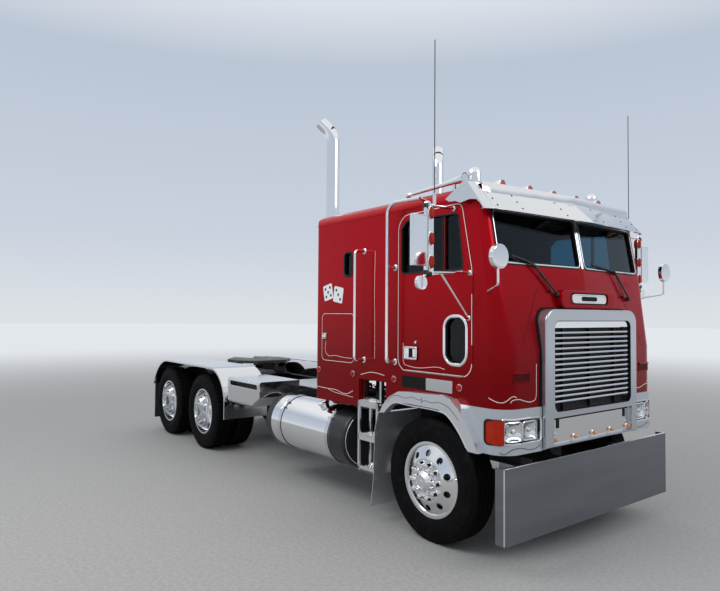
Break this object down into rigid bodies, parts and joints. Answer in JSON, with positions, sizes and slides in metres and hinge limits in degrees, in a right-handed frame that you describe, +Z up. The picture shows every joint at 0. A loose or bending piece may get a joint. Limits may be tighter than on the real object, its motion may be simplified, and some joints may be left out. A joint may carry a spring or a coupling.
{
  "type": "semi truck tractor unit",
  "caption": "Cab-over sleeper tractor with a tilting cab, opening doors and lockers, steered front axle, tandem drive axles and a tilting fifth wheel.",
  "frame": {"origin": "on the ground, at the middle of the tractor's length and width", "axes": "+X forward to the bumper, +Y to the driver's left, +Z up"},
  "size_m": [7.4592, 3.512, 4.2047],
  "materials": {
    "red_paint": "deep candy red under clear coat",
    "silver_paint": "silver metallic",
    "frame_black": "black chassis paint",
    "chrome": "bright chrome plate",
    "mirror_stainless": "polished stainless sheet",
    "polished_aluminium": "polished",
    "stainless_band": "brushed band",
    "tread_plate": "five bar tread plate",
    "engine_iron": "painted casting",
    "radiator_black": "matt black fins",
    "greased_steel": "greased cast steel",
    "flap_rubber": "ribbed black rubber",
    "tyre": "road tyre",
    "glass": "tinted safety glass",
    "clear_lens": "clear pressed lens",
    "amber_lens": "amber lens",
    "red_lens": "red lens",
    "cab_trim": "dark trim and mat",
    "dash_plastic": "grained",
    "seat_cloth": "woven seat cloth",
    "bunk_cloth": "woven mattress cover"
  },
  "bodies": {
    "chassis": {"frame": "frame_black", "bumper": "chrome", "front_axle": "frame_black", "rear_axles": "frame_black", "engine": "engine_iron", "radiator": "radiator_black", "fuel_tanks": "polished_aluminium", "tank_straps": "stainless_band", "deck_boxes": "polished_aluminium", "deck_plate": "tread_plate", "exhausts": "chrome", "rear_wings": "mirror_stainless", "mud_flaps": "flap_rubber", "tail_lamps": "red_lens", "fifth_wheel_base": "frame_black"},
    "cab": {"cab_front": "red_paint", "cab_lower_front": "silver_paint", "cab_side_right": "red_paint", "cab_side_left": "red_paint", "cab_back": "red_paint", "cab_roof": "red_paint", "cab_floor": "cab_trim", "cab_glass": "glass", "visor": "mirror_stainless", "grille": "chrome", "headlamps": "clear_lens", "marker_lamps": "amber_lens", "roof_fittings": "chrome", "grab_bars": "chrome", "wheel_flares": "silver_paint", "steps": "polished_aluminium", "corner_mirrors": "chrome", "dashboard": "dash_plastic", "seat_bases": "cab_trim", "seats": "seat_cloth", "bunk": "bunk_cloth"},
    "fifth_wheel": {"fifth_wheel": "greased_steel"},
    "door_right": {"door_right": "red_paint", "door_glass_right": "glass", "door_mirror_right": "chrome"},
    "locker_door_right": {"locker_door_right": "red_paint"},
    "knuckle_right": {"knuckle_right": "frame_black"},
    "wheel_front_right": {"wheel_front_right": "polished_aluminium", "tyre_front_right": "tyre"},
    "wheels_rear_1_right": {"wheels_rear_1_right": "polished_aluminium", "tyres_rear_1_right": "tyre"},
    "wheels_rear_2_right": {"wheels_rear_2_right": "polished_aluminium", "tyres_rear_2_right": "tyre"},
    "door_left": {"door_left": "red_paint", "door_glass_left": "glass", "door_mirror_left": "chrome"},
    "locker_door_left": {"locker_door_left": "red_paint"},
    "knuckle_left": {"knuckle_left": "frame_black"},
    "wheel_front_left": {"wheel_front_left": "polished_aluminium", "tyre_front_left": "tyre"},
    "wheels_rear_1_left": {"wheels_rear_1_left": "polished_aluminium", "tyres_rear_1_left": "tyre"},
    "wheels_rear_2_left": {"wheels_rear_2_left": "polished_aluminium", "tyres_rear_2_left": "tyre"}
  },
  "joints": [
    {"name": "cab_tilt", "type": "hinge", "parent": "chassis", "child": "cab", "pos_m": [3.5996, 0, 0.92], "axis": [0, 1, 0], "range_deg": [0, 60]},
    {"name": "fifth_wheel_tilt", "type": "hinge", "parent": "chassis", "child": "fifth_wheel", "pos_m": [-2.3204, 0, 1.11], "axis": [0, 1, 0], "range_deg": [-12, 12]},
    {"name": "door_right_hinge", "type": "hinge", "parent": "cab", "child": "door_right", "pos_m": [3.3366, -1.142, 2], "axis": [0, 0, 1], "range_deg": [0, 55]},
    {"name": "locker_right_hinge", "type": "hinge", "parent": "cab", "child": "locker_door_right", "pos_m": [1.7696, -1.142, 1.7], "axis": [0, 0, 1], "range_deg": [0, 80]},
    {"name": "steer_right", "type": "hinge", "parent": "chassis", "child": "knuckle_right", "pos_m": [2.8536, -0.84, 0.53], "axis": [0, 0, 1], "range_deg": [-32, 32]},
    {"name": "wheel_front_right_spin", "type": "hinge", "parent": "knuckle_right", "child": "wheel_front_right", "pos_m": [2.8536, -1.022, 0.53], "axis": [0, 1, 0], "continuous": true},
    {"name": "wheels_rear_1_right_spin", "type": "hinge", "parent": "chassis", "child": "wheels_rear_1_right", "pos_m": [-1.7754, -0.9205, 0.53], "axis": [0, 1, 0], "continuous": true},
    {"name": "wheels_rear_2_right_spin", "type": "hinge", "parent": "chassis", "child": "wheels_rear_2_right", "pos_m": [-3.1094, -0.9205, 0.53], "axis": [0, 1, 0], "continuous": true},
    {"name": "door_left_hinge", "type": "hinge", "parent": "cab", "child": "door_left", "pos_m": [3.3366, 1.142, 2], "axis": [0, 0, -1], "range_deg": [0, 55]},
    {"name": "locker_left_hinge", "type": "hinge", "parent": "cab", "child": "locker_door_left", "pos_m": [1.7696, 1.142, 1.7], "axis": [0, 0, -1], "range_deg": [0, 80]},
    {"name": "steer_left", "type": "hinge", "parent": "chassis", "child": "knuckle_left", "pos_m": [2.8536, 0.84, 0.53], "axis": [0, 0, 1], "range_deg": [-32, 32]},
    {"name": "wheel_front_left_spin", "type": "hinge", "parent": "knuckle_left", "child": "wheel_front_left", "pos_m": [2.8536, 1.022, 0.53], "axis": [0, 1, 0], "continuous": true},
    {"name": "wheels_rear_1_left_spin", "type": "hinge", "parent": "chassis", "child": "wheels_rear_1_left", "pos_m": [-1.7754, 0.9205, 0.53], "axis": [0, 1, 0], "continuous": true},
    {"name": "wheels_rear_2_left_spin", "type": "hinge", "parent": "chassis", "child": "wheels_rear_2_left", "pos_m": [-3.1094, 0.9205, 0.53], "axis": [0, 1, 0], "continuous": true}
  ],
  "couplings": [
    {"joint": "steer_left", "follows": "steer_right", "ratio": 1}
  ]
}
